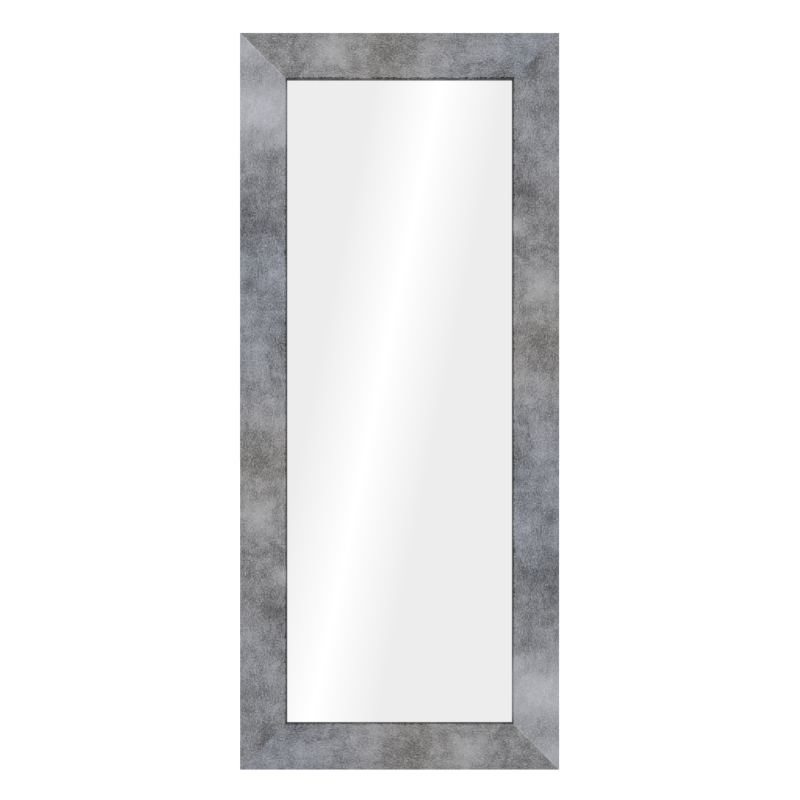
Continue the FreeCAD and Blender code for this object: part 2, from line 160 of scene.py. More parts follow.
class Graph:
    """Adds nodes to one node tree, and links them as they are made."""

    def __init__(self, tree: bpy.types.NodeTree) -> None:
        """Starts on an empty tree."""
        self.tree = tree
        self.tree.nodes.clear()

    def node(self, kind: str, settings: Mapping[str, Any] | None = None,
             sockets: Mapping[SocketKey, Any] | None = None, output: SocketKey = 0) -> Value | None:
        """Adds one node.

        Args:
            kind: The node's type.
            settings: Its properties, which are set first. "stops" holds a colour ramp's stops.
            sockets: What each input gets: a value, or another node's output to link.
            output: The output that is wanted, by name, identifier or index.

        Returns:
            That output, or None where the node has no outputs.
        """
        made = self.tree.nodes.new(kind)
        for name, setting in (settings or {}).items():
            if name == "stops":
                self._set_stops(made.color_ramp, setting)
            else:
                setattr(made, name, setting)
        for key, fed in (sockets or {}).items():
            self.feed(self.find(made.inputs, key), fed)
        return Value(self, self.find(made.outputs, output)) if len(made.outputs) else None

    def sibling(self, value: Value, output: SocketKey) -> Value:
        """Another output of the node that gave a value."""
        return Value(self, self.find(value.socket.node.outputs, output))

    def feed(self, target: bpy.types.NodeSocket, fed: Any) -> None:
        """Gives an input what it gets.

        Args:
            target: The input.
            fed: Another node's output to link, or the input's own value.
        """
        if isinstance(fed, Value):
            self.tree.links.new(fed.socket, target)
        else:
            target.default_value = fed

    @staticmethod
    def find(sockets: Sequence[bpy.types.NodeSocket], key: SocketKey) -> bpy.types.NodeSocket:
        """Finds one of a node's sockets.

        Args:
            sockets: The node's inputs or outputs.
            key: The socket's index, or its identifier, or else its name.

        Returns:
            The socket.
        """
        if isinstance(key, int):
            return sockets[key]
        by_identifier = [socket for socket in sockets if socket.identifier == key]
        return by_identifier[0] if by_identifier else next(s for s in sockets if s.name == key)

    @staticmethod
    def _set_stops(ramp: bpy.types.ColorRamp, stops: Sequence[tuple[float, Colour]]) -> None:
        """Gives a colour ramp its stops.

        Args:
            ramp: The ramp.
            stops: Each stop's place from 0 to 1 and its colour, in order.
        """
        while len(ramp.elements) < len(stops):
            ramp.elements.new(1.0)
        for element, (place, colour) in zip(ramp.elements, stops):
            element.position = place
            element.color = colour

    def math(self, operation: str, *values: Number) -> Value:
        """One Math node on one or two values."""
        return self.node("ShaderNodeMath", {"operation": operation}, dict(enumerate(values)))

    def largest(self, first: Number, second: Number) -> Value:
        """The larger of two values."""
        return self.math("MAXIMUM", first, second)

    def vector(self, x: Number, y: Number, z: Number = 0.0) -> Value:
        """A vector from three values."""
        return self.node("ShaderNodeCombineXYZ", None, {0: x, 1: y, 2: z})

    def split(self, vector: Value) -> tuple[Value, Value, Value]:
        """The three values of a vector."""
        x = self.node("ShaderNodeSeparateXYZ", None, {0: vector})
        return x, self.sibling(x, 1), self.sibling(x, 2)

    def scaled(self, vector: Value, factor: Number) -> Value:
        """A vector or colour times a value."""
        return self.node("ShaderNodeVectorMath", {"operation": "SCALE"}, {0: vector, "Scale": factor})

    def stretched(self, vector: Value, shares: Stretch, shift: Stretch = (0.0, 0.0, 0.0)) -> Value:
        """A vector with each coordinate multiplied by its own share, and then shifted."""
        sockets = {0: vector, 1: shares, 2: shift}
        return self.node("ShaderNodeVectorMath", {"operation": "MULTIPLY_ADD"}, sockets)

    def mix(self, share: Number, first: Value | Colour, second: Value | Colour) -> Value:
        """A colour between two others: all of the first at a share of 0, all of the second at 1."""
        sockets = {"Factor_Float": share, "A_Color": first, "B_Color": second}
        return self.node("ShaderNodeMix", {"data_type": "RGBA"}, sockets, "Result_Color")


@dataclass(frozen=True)
class Noise:
    """A layer of cloudy noise about zero.

    The cell is the size of its largest clouds, the stretch is how much of each coordinate is read, detail
    and roughness are those of its finer octaves, and the gain is what its whole range comes to.
    """

    cell: float
    gain: float = 1.0
    detail: float = 2.0
    roughness: float = 0.5
    stretch: Stretch = EVEN

    def read(self, graph: Graph, place: Value) -> Value:
        """Reads the layer.

        Args:
            graph: The graph that gets its nodes.
            place: Where it is read.

        Returns:
            The noise, from about minus half the gain to half the gain.
        """
        where = place if self.stretch == EVEN else graph.stretched(place, self.stretch)
        sockets = {"Vector": where, "Scale": 1 / self.cell,
                   "Detail": self.detail, "Roughness": self.roughness}
        cloudy = graph.node("ShaderNodeTexNoise", None, sockets) - NOISE_MIDDLE
        return cloudy if self.gain == 1.0 else cloudy * self.gain


@dataclass(frozen=True)
class Specks:
    """Scattered specks, one to a cell at the most, each a share of the largest radius.

    The radius is a share of the cell. A turn and a stretch make short strokes of them.
    """

    cell: float
    radius: float
    gain: float
    turn: float = 0.0
    stretch: Stretch = EVEN

    def read(self, graph: Graph, place: Value) -> Value:
        """Reads the specks.

        Args:
            graph: The graph that gets their nodes.
            place: Where they are read.

        Returns:
            The gain in the middle of a speck, 0 outside.
        """
        turned = {"Vector": place, "Rotation": (0.0, 0.0, self.turn), "Scale": self.stretch}
        where = graph.node("ShaderNodeMapping", None, turned)
        near = graph.node("ShaderNodeTexVoronoi", None, {"Vector": where, "Scale": 1 / self.cell})
        chance = graph.split(graph.sibling(near, "Color"))[0]
        return (near / (chance * self.radius)).over(1.0, 0.0) * self.gain


class Surface:
    """One material: a Principled shader and the graph that feeds it."""

    def __init__(self, name: str) -> None:
        """Makes an empty material of that name."""
        self.material = bpy.data.materials.new(name)
        self.material.use_nodes = True
        self.graph = Graph(self.material.node_tree)

    def coordinates(self, turn: Matrix | None = None, origin: Vector | None = None) -> Value:
        """The piece's own coordinates, turned and moved so that a pattern lies along it.

        Args:
            turn: Its rows are the directions in which the pattern's axes run.
            origin: The place that becomes the pattern's origin.

        Returns:
            The coordinates.
        """
        turn = turn or Matrix.Identity(3)
        shift = -(turn @ (origin or Vector()))
        place = self.graph.node("ShaderNodeTexCoord", None, None, "Object")
        sockets = {"Vector": place, "Location": tuple(shift), "Rotation": tuple(turn.to_euler("XYZ"))}
        return self.graph.node("ShaderNodeMapping", {"vector_type": "POINT"}, sockets)

    def bump(self, height: Value, distance: float) -> Value:
        """A normal that follows a height, where a height of 1 stands for a real distance."""
        sockets = {"Height": height, "Distance": distance, "Strength": 1.0}
        return self.graph.node("ShaderNodeBump", None, sockets)

    def principled(self, **sockets: Any) -> bpy.types.Material:
        """Adds the shader and the material's output.

        Args:
            **sockets: What the shader's inputs get, with underscores for the spaces in their names.

        Returns:
            The finished material.
        """
        named = {name.replace("_", " "): fed for name, fed in sockets.items()}
        shader = self.graph.node("ShaderNodeBsdfPrincipled", None, named)
        self.graph.node("ShaderNodeOutputMaterial", None, {"Surface": shader})
        return self.material


class Edge(Enum):
    """The four lengths of the frame, named after their nodes."""

    LEFT = "left_stile"
    RIGHT = "right_stile"
    TOP = "top_rail"
    BOTTOM = "bottom_rail"

    @property
    def upright(self) -> bool:
        """Whether the length is a stile."""
        return self in (Edge.LEFT, Edge.RIGHT)

    @property
    def along(self) -> Vector:
        """The direction in which the length runs, anticlockwise round the front."""
        return {Edge.LEFT: DOWN, Edge.RIGHT: UP, Edge.TOP: LEFT, Edge.BOTTOM: RIGHT}[self]

    @property
    def axes(self) -> Matrix:
        """The length's own axes as rows: along it, inward across it, and through it to the front."""
        return Matrix((self.along, TO_FRONT.cross(self.along), TO_FRONT))


@dataclass(frozen=True)
class Layout:
    """The mirror's main sizes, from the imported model's box and the section of its moulding."""

    low: Vector
    high: Vector
    moulding_width: float = 96 * MM
    moulding_depth: float = 22 * MM
    sight_bevel: float = 3 * MM
    rebate_width: float = 10 * MM
    rebate_depth: float = 12 * MM

    @property
    def width(self) -> float:
        """The whole width."""
        return self.high.x - self.low.x

    @property
    def height(self) -> float:
        """The whole height."""
        return self.high.z - self.low.z

    @property
    def back(self) -> float:
        """Where the frame's back plane lies, in Y."""
        return self.low.y + self.moulding_depth

    @property
    def rebate_wall(self) -> float:
        """How far the rebate's wall lies from the outer edge."""
        return self.moulding_width - self.rebate_width

    @property
    def sight_line(self) -> float:
        """How far the flat of the face reaches from the outer edge."""
        return self.moulding_width - self.sight_bevel

    def corner(self, edge: Edge) -> Vector:
        """Finds where one length of the frame starts.

        Args:
            edge: Which length.

        Returns:
            Its first outer corner, on the back plane.
        """
        x = self.low.x if edge in (Edge.LEFT, Edge.BOTTOM) else self.high.x
        z = self.high.z if edge in (Edge.LEFT, Edge.TOP) else self.low.z
        return Vector((x, self.back, z))

    def run(self, edge: Edge) -> float:
        """How long one length is."""
        return self.height if edge.upright else self.width


class FoilHue(Enum):
    """The greys that the foil's print drifts through."""

    LAVENDER = srgb(134, 135, 140)
    SLATE = srgb(132, 135, 143)
    PLAIN = srgb(136, 135, 136)
    MAUVE = srgb(136, 135, 137)
    WARM = srgb(137, 135, 134)


@dataclass(frozen=True)
class Cloud:
    """A soft lighter or darker place of the print, in metres along and across it from the outer edge."""

    along: float
    across: float
    length: float
    width: float
    gain: float

    def read(self, graph: Graph, place: Value) -> Value:
        """Reads how much the cloud lightens the print.

        Args:
            graph: The material's graph.
            place: Where it is read: along the print, across it, and 0.

        Returns:
            Its gain at the middle, and nothing from its edge outwards.
        """
        shares = (1 / self.length, 1 / self.width, 0.0)
        shift = (-self.along / self.length, -self.across / self.width, 0.0)
        centred = graph.stretched(place, shares, shift)
        far = graph.node("ShaderNodeVectorMath", {"operation": "LENGTH"}, {0: centred}, "Value")
        return far.over(1.0, 0.0) * self.gain


def clouds(*rows: tuple[float, float, float, float, float]) -> tuple[Cloud, ...]:
    """Makes clouds from rows of millimetres along, across, half length and half width, and a gain."""
    return tuple(Cloud(*(size * MM for size in row[:4]), row[4]) for row in rows)


@dataclass(frozen=True)
class FoilPrint:
    """The weathered zinc-grey print of the foil, which starts at the top of the left stile.

    Tones are shares of the mean tone as a screen shows it.
    """

    repeat: float = 1500 * MM
    hues: tuple[tuple[float, FoilHue], ...] = (
        (0 * MM, FoilHue.LAVENDER),
        (310 * MM, FoilHue.LAVENDER),
        (450 * MM, FoilHue.SLATE),
        (600 * MM, FoilHue.SLATE),
        (730 * MM, FoilHue.LAVENDER),
        (810 * MM, FoilHue.PLAIN),
        (850 * MM, FoilHue.WARM),
        (890 * MM, FoilHue.WARM),
        (940 * MM, FoilHue.PLAIN),
        (1020 * MM, FoilHue.MAUVE),
        (1120 * MM, FoilHue.MAUVE),
        (1250 * MM, FoilHue.LAVENDER),
    )
    rosy: Colour = (1.016, 0.995, 1.0, 1.0)
    teal: Colour = (0.984, 1.005, 1.0, 1.0)
    tinge: Noise = Noise(22 * MM, 1.0, 3.0)
    tinge_spread: float = 0.3
    base_tone: float = 0.938
    screen_power: float = 2.2
    light_and_dark: tuple[Cloud, ...] = clouds(
        (15, 15, 70, 50, 0.14),
        (40, 45, 130, 400, 0.15),
        (95, 40, 35, 25, -0.05),
        (160, 35, 100, 300, 0.31),
        (225, 85, 50, 40, 0.12),
        (250, 10, 60, 50, 0.08),
        (385, 45, 115, 400, -0.08),
        (395, 20, 65, 60, -0.09),
        (415, 80, 45, 35, -0.05),
        (455, 45, 35, 25, 0.05),
        (485, 45, 65, 400, 0.03),
        (505, 85, 50, 60, 0.09),
        (515, 30, 30, 45, -0.06),
        (560, 10, 55, 45, 0.09),
        (620, 85, 85, 45, -0.07),
        (670, 35, 60, 45, 0.15),
        (765, 60, 95, 100, 0.11),
        (815, 10, 45, 40, -0.05),
        (865, 40, 70, 50, -0.08),
        (920, 85, 45, 40, 0.06),
        (985, 40, 75, 60, 0.23),
        (1050, 85, 50, 45, -0.06),
        (1060, 10, 50, 45, -0.05),
        (1095, 40, 40, 40, -0.03),
        (1110, 85, 40, 45, 0.19),
        (1160, 50, 50, 40, -0.10),
        (1190, 85, 60, 55, -0.13),
        (1220, 10, 55, 50, 0.07),
        (1300, 35, 50, 60, 0.06),
        (1330, 85, 40, 40, 0.05),
        (1360, 10, 40, 40, -0.10),
        (1430, 10, 35, 30, 0.05),
        (1430, 50, 50, 35, -0.14),
    )
    cloud_gain: float = 1.10
    ragged_cell: float = 40 * MM
    ragged_detail: float = 3.0
    ragged_reach: float = 30 * MM
    mottle: Noise = Noise(26 * MM, 0.36, 3.0)
    drifts: Noise = Noise(34 * MM, 0.26, 1.0, stretch=(1.0, 0.6, 1.0))
    wisps: Noise = Noise(9 * MM, 0.21, 1.0, stretch=(0.45, 1.0, 1.0))
    brushing: Noise = Noise(11 * MM, 0.10, 1.0, stretch=(0.10, 1.0, 1.0))
    streaks: Noise = Noise(1.5 * MM, 0.6, stretch=(0.22, 1.0, 1.0))
    grain: Noise = Noise(3.2 * MM, 1.15, 3.0, 0.65)
    grain_patches: Noise = Noise(16 * MM, 1.3)
    strong_tone: float = 0.84
    strong: float = 1.36
    faint_tone: float = 1.3
    faint: float = 0.48
    strokes: Specks = Specks(14 * MM, 0.16, -0.22, 0.5, (0.4, 1.6, 1.0))
    flecks: Specks = Specks(45 * MM, 0.025, 0.30)

    def colour(self, graph: Graph, place: Value, tone: Value) -> Value:
        """Reads the print's colour.

        Args:
            graph: The material's graph.
            place: Where it is read: along the print, across it, and 0.
            tone: The tone there.

        Returns:
            The hue of that place at that tone.
        """
        along, _, _ = graph.split(place)
        stops = [(start / self.repeat, hue.value) for start, hue in self.hues]
        hue = graph.node("ShaderNodeValToRGB", {"stops": stops}, {0: along / self.repeat})
        share = self.tinge.read(graph, place).over(-self.tinge_spread, self.tinge_spread)
        tinge = graph.mix(share, self.teal, self.rosy)
        tinged = graph.node("ShaderNodeVectorMath", {"operation": "MULTIPLY"}, {0: hue, 1: tinge})
        return graph.scaled(tinged, tone ** self.screen_power)

    def tone(self, graph: Graph, place: Value) -> Value:
        """Reads the print's lightness.

        Args:
            graph: The material's graph.
            place: Where it is read: along the print, across it, and 0.

        Returns:
            The tone, about 1.
        """
        ragged = self._ragged(graph, place)
        clouds_here = sum(cloud.read(graph, ragged) for cloud in self.light_and_dark)
        tone = clouds_here * self.cloud_gain + self.base_tone
        patchy = self.drifts.read(graph, ragged) + self.wisps.read(graph, ragged)
        patchy = patchy + self.mottle.read(graph, place) + self.brushing.read(graph, place)
        tone = tone + patchy * self._strength(tone)
        patches = self.grain_patches.read(graph, place) + 1.0
        fine = (self.streaks.read(graph, place) + self.grain.read(graph, place)) * patches
        fine = fine + self.strokes.read(graph, ragged)
        return tone + fine * self._strength(tone) + self.flecks.read(graph, place)

    def _strength(self, tone: Value) -> Value:
        """Gives how strongly the print's texture shows: less on light places than on dark ones."""
        return tone.over(self.faint_tone, self.strong_tone) * (self.strong - self.faint) + self.faint

    def _ragged(self, graph: Graph, place: Value) -> Value:
        """Moves the place about, so that what is read there has ragged edges.

        Args:
            graph: The material's graph.
            place: The place on the print.

        Returns:
            The moved place.
        """
        sockets = {"Vector": place, "Scale": 1 / self.ragged_cell, "Detail": self.ragged_detail}
        wander = graph.node("ShaderNodeTexNoise", None, sockets, "Color")
        wander = graph.stretched(wander, (self.ragged_reach,) * 3, (-self.ragged_reach / 2,) * 3)
        return graph.node("ShaderNodeVectorMath", {"operation": "ADD"}, {0: place, 1: wander})


@dataclass(frozen=True)
class RawBoard:
    """Sawn fibreboard, as it shows where the foil ends, with the dark seam of a mitre."""

    light: Colour = srgb(186, 157, 121)
    dark: Colour = srgb(150, 120, 87)
    spread: float = 0.4
    fibres: Noise = Noise(1.6 * MM, 1.0, 5.0, 0.7)
    handling: Noise = Noise(70 * MM, 1.0, 3.0)
    seam: Colour = srgb(84, 64, 44)
    seam_width: float = 0.5 * MM

    def colour(self, graph: Graph, place: Value, fibres: Value, mitre: Value) -> Value:
        """Reads the board's colour.

        Args:
            graph: The material's graph.
            place: Where it is read.
            fibres: The fibres there.
            mitre: How far the nearest mitre is.

        Returns:
            The colour.
        """
        shade = (fibres + self.handling.read(graph, place)).over(-self.spread, self.spread)
        board = graph.mix(shade, self.dark, self.light)
        return graph.mix(mitre.over(self.seam_width, 0.0), board, self.seam)


@dataclass(frozen=True)
class PaintedSightShade:
    """Painted shade along a sight edge, as if the bevel there lay in shadow: the tone that stays bare, and
    how far the others drop.
    """

    bare_tone: float
    drop: float


@dataclass(frozen=True)
class FoiledMoulding:
    """The moulding's finish: printed foil on its face and sides, raw board behind and in the rebate."""

    foil: FoilPrint = FoilPrint()
    board: RawBoard = RawBoard()
    rail_start: float = 520 * MM
    # Painted highlight: a thin light line along each stile's first mitre.
    painted_glint_width: float = 1.1 * MM
    painted_glint_gain: float = 0.55
    # The fields below paint shade along each sight edge, as if its bevel lay in shadow; the top rail's
    # reaches furthest outwards.
    sight_contrast: float = 2.6
    sight_least: float = 0.1
    sight_reach: float = 5 * MM
    sight_ramp: float = 0.9 * MM
    painted_sight_shades: Mapping[Edge, PaintedSightShade] = field(default_factory=lambda: {
        Edge.LEFT: PaintedSightShade(1.0, 2.35),
        Edge.RIGHT: PaintedSightShade(1.05, 2.35),
        Edge.TOP: PaintedSightShade(1.4, 2.1),
        Edge.BOTTOM: PaintedSightShade(1.0, 2.1),
    })
    gloss: float = 0.3
    roughness: float = 0.46
    raw_roughness: float = 0.86
    sheen_patches: Noise = Noise(3.2 * MM, 0.25, 3.0)
    relief: float = 0.06 * MM
    foil_relief: float = 4.0
    overlap: float = 9 * MM
    overlap_cut: Noise = Noise(30 * MM, 2 * MM, 4.0)
    fold: float = 2 * MM
    film: float = 0.2 * MM

    def material(self, edge: Edge, layout: Layout) -> bpy.types.Material:
        """Makes the finish of one length of the frame.

        Args:
            edge: Which length.
            layout: The mirror's sizes.

        Returns:
            The material.
        """
        surface = Surface(f"foil_{edge.value}")
        graph = surface.graph
        place = surface.coordinates(edge.axes, layout.corner(edge))
        along, across, through = graph.split(place)
        first_mitre = abs(along - across)
        last_mitre = abs(layout.run(edge) - along - across)
        mitre = graph.math("MINIMUM", first_mitre, last_mitre)

        outer_half = across.over(layout.moulding_width / 2, layout.moulding_width / 2 - self.film)
        print_across = across + (layout.moulding_depth - through) * (1 - 2 * outer_half)
        print_along = along + (0.0 if edge.upright else self.rail_start)
        print_place = graph.vector(print_along, print_across)
        # The print gets painted shade along the sight edge.
        tone = self._paint_sight_shade(graph, edge, across - layout.sight_line, self.foil.tone(graph, print_place))
        # Painted highlight along the stile's first mitre, as if the mitre's edge caught the light.
        if edge.upright:
            tone = tone + first_mitre.over(self.painted_glint_width, 0.0) * self.painted_glint_gain
        foil = self.foil.colour(graph, print_place, tone)

        raw = self._raw(graph, layout, place)
        foiled = 1 - raw
        fibres = self.board.fibres.read(graph, place)
        sheen = self.sheen_patches.read(graph, print_place) * foiled
        return surface.principled(
            Specular_IOR_Level=self.gloss,
            Base_Color=graph.mix(raw, foil, self.board.colour(graph, place, fibres, mitre)),
            Roughness=sheen + foiled * self.roughness + raw * self.raw_roughness,
            Normal=surface.bump(sheen * self.foil_relief + raw * fibres, self.relief),
        )

    def _paint_sight_shade(self, graph: Graph, edge: Edge, inward: Value, tone: Value) -> Value:
        """Paints shade onto the print along the sight edge, as if the bevel lay in shadow, further outwards
        where the print is dark.

        Args:
            graph: The material's graph.
            edge: Which length.
            inward: How far inward the place lies from the flat of the face.
            tone: The print's tone there.

        Returns:
            The tone with its painted shade.
        """
        shade = self.painted_sight_shades[edge]
        reach = graph.largest((shade.bare_tone - tone) * self.sight_reach, 0.0)
        near = (inward + reach).over(-self.sight_ramp, self.sight_ramp)
        dark = graph.largest(tone * self.sight_contrast - shade.drop, self.sight_least)
        return tone + (dark - tone) * near

    def _raw(self, graph: Graph, layout: Layout, place: Value) -> Value:
        """Finds where the foil ends and the board under it shows: on the back and in the rebate.

        Args:
            graph: The material's graph.
            layout: The mirror's sizes.
            place: The place on the length: along, across and through it.

        Returns:
            1 on raw board, 0 on foil.
        """
        _, across, through = graph.split(place)
        cut = across + self.overlap_cut.read(graph, place)
        half_film = self.film / 2
        on_back = through.over(self.film, half_film) * cut.over(self.overlap, self.overlap + self.film)
        wall = layout.rebate_wall - self.film
        lip = layout.rebate_depth + self.film
        fold = layout.moulding_width - self.fold
        in_rebate = across.over(wall, wall + half_film) * across.over(fold, fold - half_film)
        return graph.largest(on_back, in_rebate * through.over(lip, lip - half_film))


@dataclass(frozen=True)
class SilveredGlass:
    """A polished mirror: silvered, painted grey on its back, green at its sawn edges."""

    silver: Colour = srgb(237, 237, 237)
    paint: Colour = srgb(118, 124, 126)
    thin_paint: Colour = srgb(100, 107, 110)
    edge: Colour = srgb(70, 104, 92)
    skin: float = 0.3 * MM
    rim: float = 0.7 * MM
    brushing: Noise = Noise(6 * MM, 1.0, 4.0, stretch=(1.0, 1.0, 0.2))
    brushing_spread: float = 0.3
    brushing_relief: float = 0.05 * MM
    painted_roughness: float = 0.5
    dust: Noise = Noise(120 * MM, 1.0, 4.0)
    dust_spread: float = 0.5
    dust_roughness: float = 0.015

    def material(self, low: Vector, high: Vector) -> bpy.types.Material:
        """Makes the finish of the glass.

        Args:
            low: The glass's lowest corner.
            high: The glass's highest corner.

        Returns:
            The material.
        """
        surface = Surface("silvered_glass")
        graph = surface.graph
        half = (high - low) / 2
        place = surface.coordinates(origin=(low + high) / 2)
        x, y, z = graph.split(place)
        behind = y.over(half.y - self.skin, half.y - self.skin / 2)
        at_side = abs(x).over(half.x - self.rim, half.x - self.rim / 2)
        at_end = abs(z).over(half.z - self.rim, half.z - self.rim / 2)
        sawn = graph.largest(at_side, at_end)
        covered = graph.largest(behind, sawn)
        brushing = self.brushing.read(graph, place)
        thin = brushing.over(-self.brushing_spread, self.brushing_spread)
        painted = graph.mix(thin, self.paint, self.thin_paint)
        dust = self.dust.read(graph, place).over(0.0, self.dust_spread)
        return surface.principled(
            Base_Color=graph.mix(covered, self.silver, graph.mix(sawn, painted, self.edge)),
            Metallic=1 - covered,
            Roughness=covered * self.painted_roughness + dust * self.dust_roughness,
            Normal=surface.bump(brushing * covered, self.brushing_relief),
        )


@dataclass(frozen=True)
class Hardboard:
    """Brown hardboard with the mesh side of its press outwards."""

    dark: Colour = srgb(92, 64, 40)
    light: Colour = srgb(134, 99, 65)
    spread: float = 0.45
    mesh_pitch: float = 2.4 * MM
    mesh_shade: float = 0.10
    mesh_relief: float = 0.5
    fibres: Noise = Noise(3 * MM, 0.9, 5.0, 0.7)
    stain: Noise = Noise(160 * MM, 0.9, 4.0, 0.6)
    roughness: float = 0.72
    roughness_spread: float = 0.3
    relief: float = 0.25 * MM

    def material(self) -> bpy.types.Material:
        """Makes the finish of the board.

        Returns:
            The material.
        """
        surface = Surface("hardboard")
        graph = surface.graph
        place = surface.coordinates()
        x, _, z = graph.split(place)
        turns = 2 * math.pi / self.mesh_pitch
        mesh = graph.math("SINE", x * turns) * graph.math("SINE", z * turns)
        fibres = self.fibres.read(graph, place)
        shade = fibres + self.stain.read(graph, place) + mesh * self.mesh_shade
        return surface.principled(
            Base_Color=graph.mix(shade.over(-self.spread, self.spread), self.dark, self.light),
            Roughness=fibres * self.roughness_spread + self.roughness,
            Normal=surface.bump(mesh * self.mesh_relief + fibres, self.relief),
        )


@dataclass(frozen=True)
class ZincPlate:
    """Bright zinc plate on steel, with the faint clouds and rubs of plated fittings."""

    bright: Colour = srgb(205, 208, 212)
    dull: Colour = srgb(164, 167, 170)
    spread: float = 0.25
    bloom: Noise = Noise(7 * MM, 1.0, 4.0, 0.6)
    rubs: Noise = Noise(0.9 * MM, 0.5, 3.0, stretch=(1.0, 1.0, 0.15))
    roughness: float = 0.30
    roughness_spread: float = 0.25
    relief: float = 0.04 * MM

    def material(self) -> bpy.types.Material:
        """Makes the finish of the fittings.

        Returns:
            The material.
        """
        surface = Surface("zinc_plate")
        graph = surface.graph
        place = surface.coordinates()
        rubs = self.rubs.read(graph, place)
        marks = self.bloom.read(graph, place) + rubs
        return surface.principled(
            Base_Color=graph.mix(marks.over(-self.spread, self.spread), self.dull, self.bright),
            Metallic=1.0,
            Roughness=marks * self.roughness_spread + self.roughness,
            Normal=surface.bump(rubs, self.relief),
        )


@dataclass(frozen=True)
class SoftBlack:
    """A soft black material, whose fine grain shows in its colour and relief."""

    name: str
    dark: Colour
    light: Colour
    grain: Noise
    relief: float
    roughness: float
    roughness_spread: float = 0.0
    spread: float = 0.25

    def material(self) -> bpy.types.Material:
        """Makes the finish.

        Returns:
            The material.
        """
        surface = Surface(self.name)
        grain = self.grain.read(surface.graph, surface.coordinates())
        roughness = self.roughness
        if self.roughness_spread:
            roughness = grain * self.roughness_spread + self.roughness
        return surface.principled(
            Base_Color=surface.graph.mix(grain.over(-self.spread, self.spread), self.dark, self.light),
            Roughness=roughness,
            Normal=surface.bump(grain, self.relief),
        )


FELT_TAPE = SoftBlack("felt_tape", srgb(20, 20, 22), srgb(52, 52, 55), Noise(0.8 * MM, 1.0, 4.0, 0.7),
                      relief=0.2 * MM, roughness=0.95)
BUMPER_RUBBER = SoftBlack("bumper_rubber", srgb(24, 24, 25), srgb(50, 50, 52), Noise(2 * MM, 1.0, 5.0, 0.7),
                          relief=0.06 * MM, roughness=0.72, roughness_spread=0.3)

ProfilePoint = tuple[float, float]


def lathe(profile: Sequence[ProfilePoint], segments: int) -> bmesh.types.BMesh:
    """Turns a profile round the Z axis.

    Args:
        profile: Radius and height of each point, from one end of the axis to the other.
        segments: How many sides the turned shape has.

    Returns:
        The closed shape, with its faces outwards.
    """
    shape = bmesh.new()
    points = [shape.verts.new((radius, 0, height)) for radius, height in profile]
    edges = [shape.edges.new(pair) for pair in zip(points, points[1:])]
    bmesh.ops.spin(shape, geom=points + edges, cent=(0, 0, 0), axis=UP, angle=2 * math.pi,
                   steps=segments, use_merge=True)
    bmesh.ops.remove_doubles(shape, verts=shape.verts, dist=SAME_POINT)
    bmesh.ops.recalc_face_normals(shape, faces=shape.faces)
    return shape


def quarter(centre: ProfilePoint, radii: ProfilePoint, steps: int) -> list[ProfilePoint]:
    """Rounds a profile's outer rim.

    Args:
        centre: The middle of the round, as a radius and a height.
        radii: How far it reaches outwards and upwards.
        steps: How many stretches it has.

    Returns:
        The points of the quarter round, from its outermost to its highest.
    """
    angles = [RIGHT_ANGLE * step / steps for step in range(steps + 1)]
    return [(centre[0] + radii[0] * math.cos(a), centre[1] + radii[1] * math.sin(a)) for a in angles]


def mesh_object(name: str, shape: bmesh.types.BMesh) -> bpy.types.Object:
    """Turns a shape into an object with smooth rounds and sharp corners.

    Args:
        name: The object's name.
        shape: The shape, which is freed.

    Returns:
        The object, in the scene.
    """
    mesh = bpy.data.meshes.new(name)
    shape.to_mesh(mesh)
    shape.free()
    mesh.shade_smooth()
    mesh.set_sharp_from_angle(angle=CREASE)
    made = bpy.data.objects.new(name, mesh)
    bpy.context.scene.collection.objects.link(made)
    return made


def applied(thing: bpy.types.Object) -> bpy.types.Mesh:
    """The plain mesh of an object with its modifiers worked out."""
    graph = bpy.context.evaluated_depsgraph_get()
    return bpy.data.meshes.new_from_object(thing.evaluated_get(graph))


@dataclass(frozen=True)
class FramingPoint:
    """A flat steel point: sharp where it bites into the moulding, bent up a little at its free end."""

    length: float = 16 * MM
    bite: float = 7 * MM
    width: float = 6 * MM
    end_width: float = 4.2 * MM
    tip: float = 3 * MM
    thickness: float = 0.6 * MM
    bend_start: float = 5.4 * MM
    bend_end: float = 7.6 * MM
    bend_lift: float = 0.55 * MM
    end_lift: float = 0.9 * MM

    def build(self) -> bpy.types.Object:
        """Builds one point, flat on the plane Z = 0, with its free end towards +X.

        Returns:
            The point.
        """
        half = self.width / 2
        stations = [
            (-self.bite, 0.0, 0.0),
            (self.tip - self.bite, half, 0.0),
            (self.bend_start, half, 0.0),
            (self.bend_end, half, self.bend_lift),
            (self.length - self.bite, self.end_width / 2, self.end_lift),
        ]
        shape = bmesh.new()
        near, far = ([shape.verts.new((x, sense * y, z)) for x, y, z in stations] for sense in (-1, 1))
        for i in range(len(stations) - 1):
            shape.faces.new((near[i], near[i + 1], far[i + 1], far[i]))
        bmesh.ops.remove_doubles(shape, verts=shape.verts, dist=SAME_POINT)
        bmesh.ops.recalc_face_normals(shape, faces=shape.faces)
        bmesh.ops.solidify(shape, geom=shape.faces[:], thickness=self.thickness)
        bmesh.ops.recalc_face_normals(shape, faces=shape.faces)
        lowest = min(vert.co.z for vert in shape.verts)
        bmesh.ops.translate(shape, verts=shape.verts, vec=(0, 0, -lowest))
        return mesh_object("framing_point", shape)


